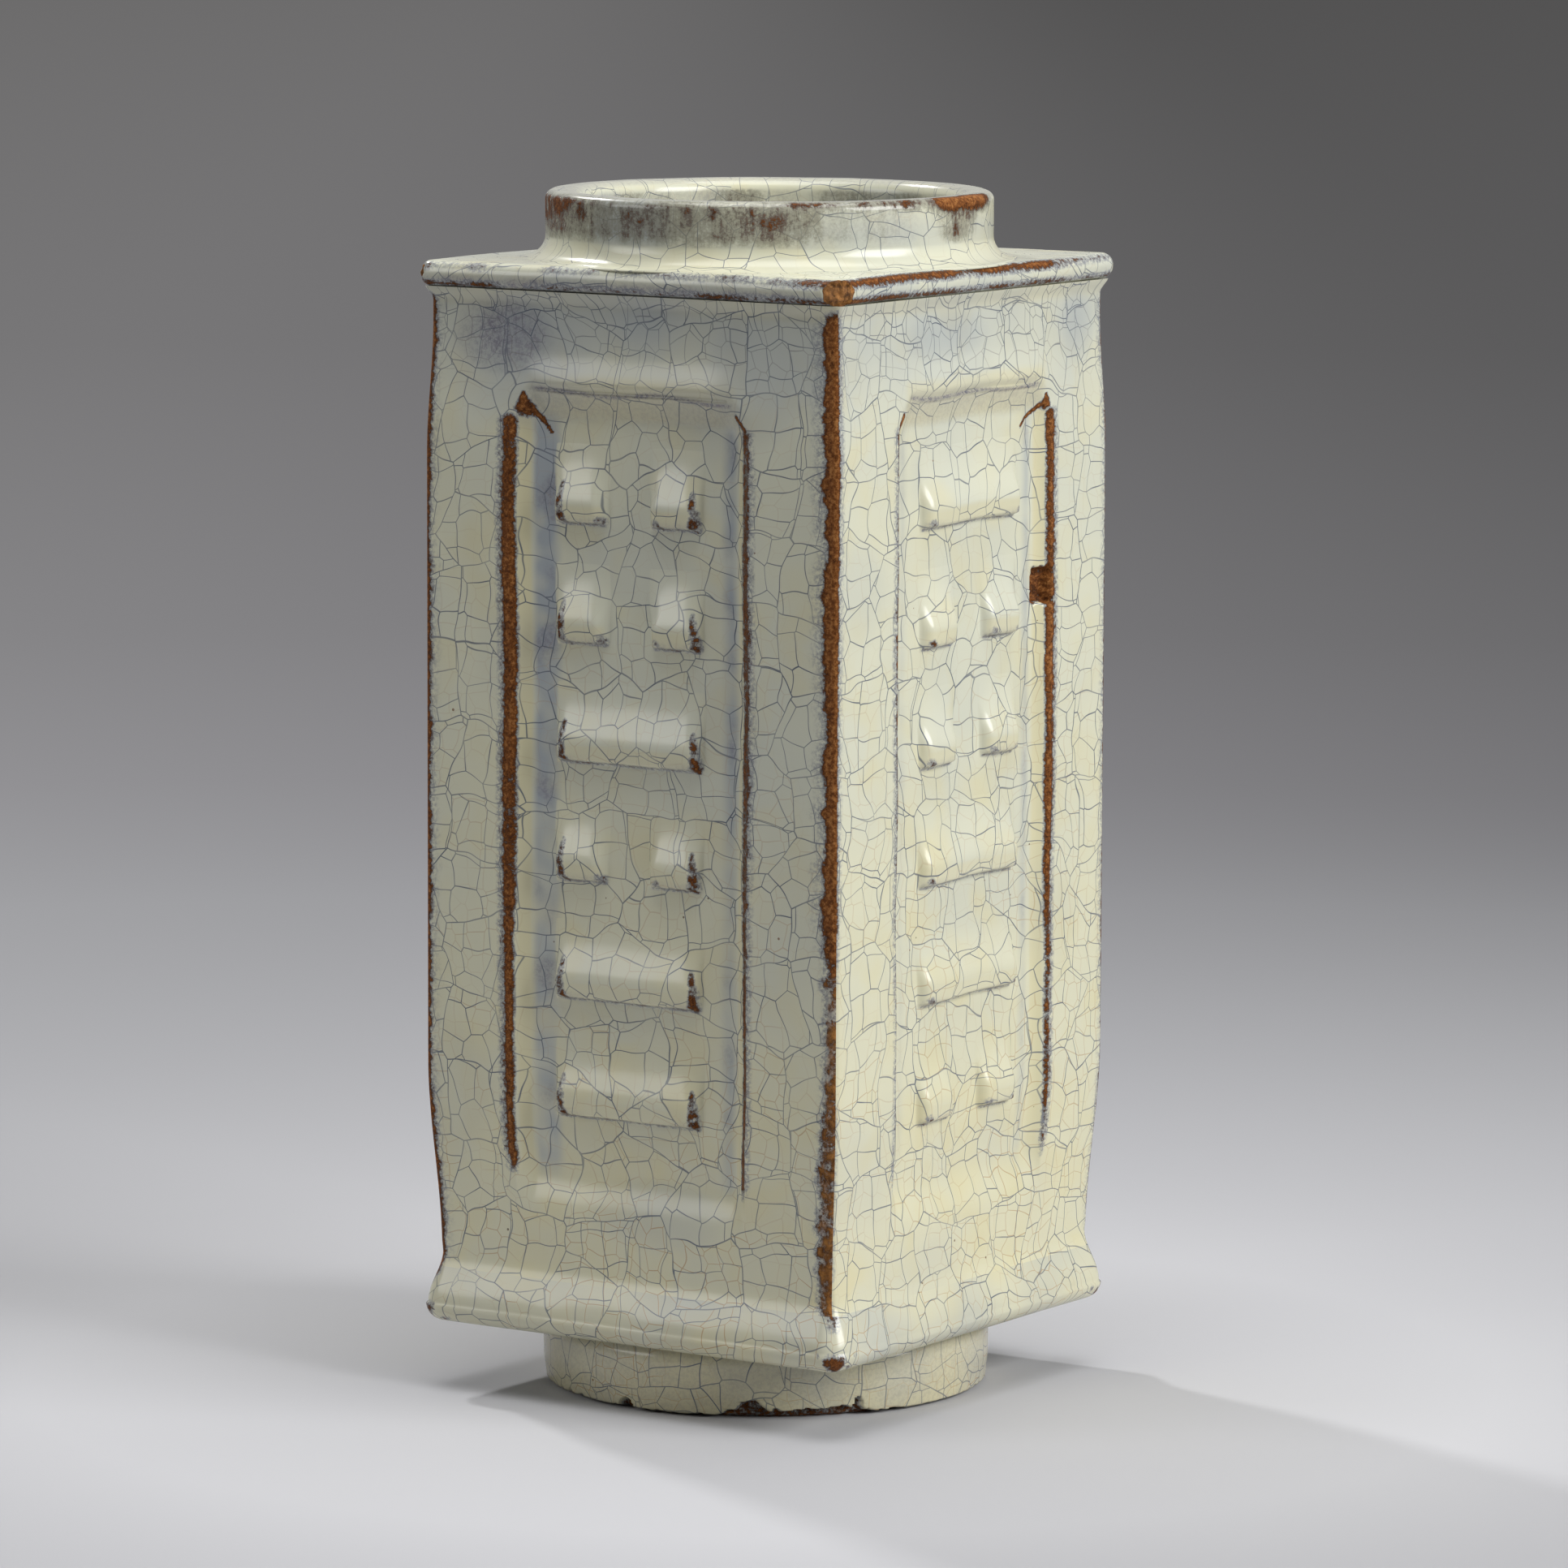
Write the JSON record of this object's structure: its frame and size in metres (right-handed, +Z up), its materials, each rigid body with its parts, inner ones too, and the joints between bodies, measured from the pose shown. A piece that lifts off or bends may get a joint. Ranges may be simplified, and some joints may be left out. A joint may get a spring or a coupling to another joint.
{
  "type": "cong vase",
  "caption": "Square slab-built stoneware vase with a round neck and foot, sunken panels with raised trigram lines, and a crackled pale celadon glaze that thins to brown at the edges.",
  "frame": {"origin": "centre of the foot, on the plane that the vase stands on", "axes": "+Z up along the vase's upright axis; the front panel faces -Y and the right panel faces +X"},
  "size_m": [0.1186, 0.1186, 0.28],
  "materials": {
    "crackle_glaze": "glossy pale celadon glaze with a crackle stained grey-blue and brown, brown where it thins at the edges",
    "rim_glaze": "the same glaze run thin over iron-rich clay, lavender and brown",
    "inner_glaze": "thin glossy glaze wash inside, brownish grey"
  },
  "bodies": {
    "root": {"wall_front": "crackle_glaze", "wall_right": "crackle_glaze", "wall_back": "crackle_glaze", "wall_left": "crackle_glaze", "shoulder_plate": "crackle_glaze", "base_plate": "crackle_glaze", "foot_ring": "crackle_glaze", "trigram_thunder": "crackle_glaze", "trigram_lake": "crackle_glaze", "trigram_mountain": "crackle_glaze", "trigram_wind": "crackle_glaze", "trigram_heaven": "crackle_glaze", "trigram_earth": "crackle_glaze", "trigram_water": "crackle_glaze", "trigram_fire": "crackle_glaze", "neck_ring": "rim_glaze", "coil_front_right": "inner_glaze", "coil_back_right": "inner_glaze", "coil_back_left": "inner_glaze", "coil_front_left": "inner_glaze", "base_coil": "inner_glaze", "shoulder_coil": "inner_glaze"}
  },
  "joints": []
}
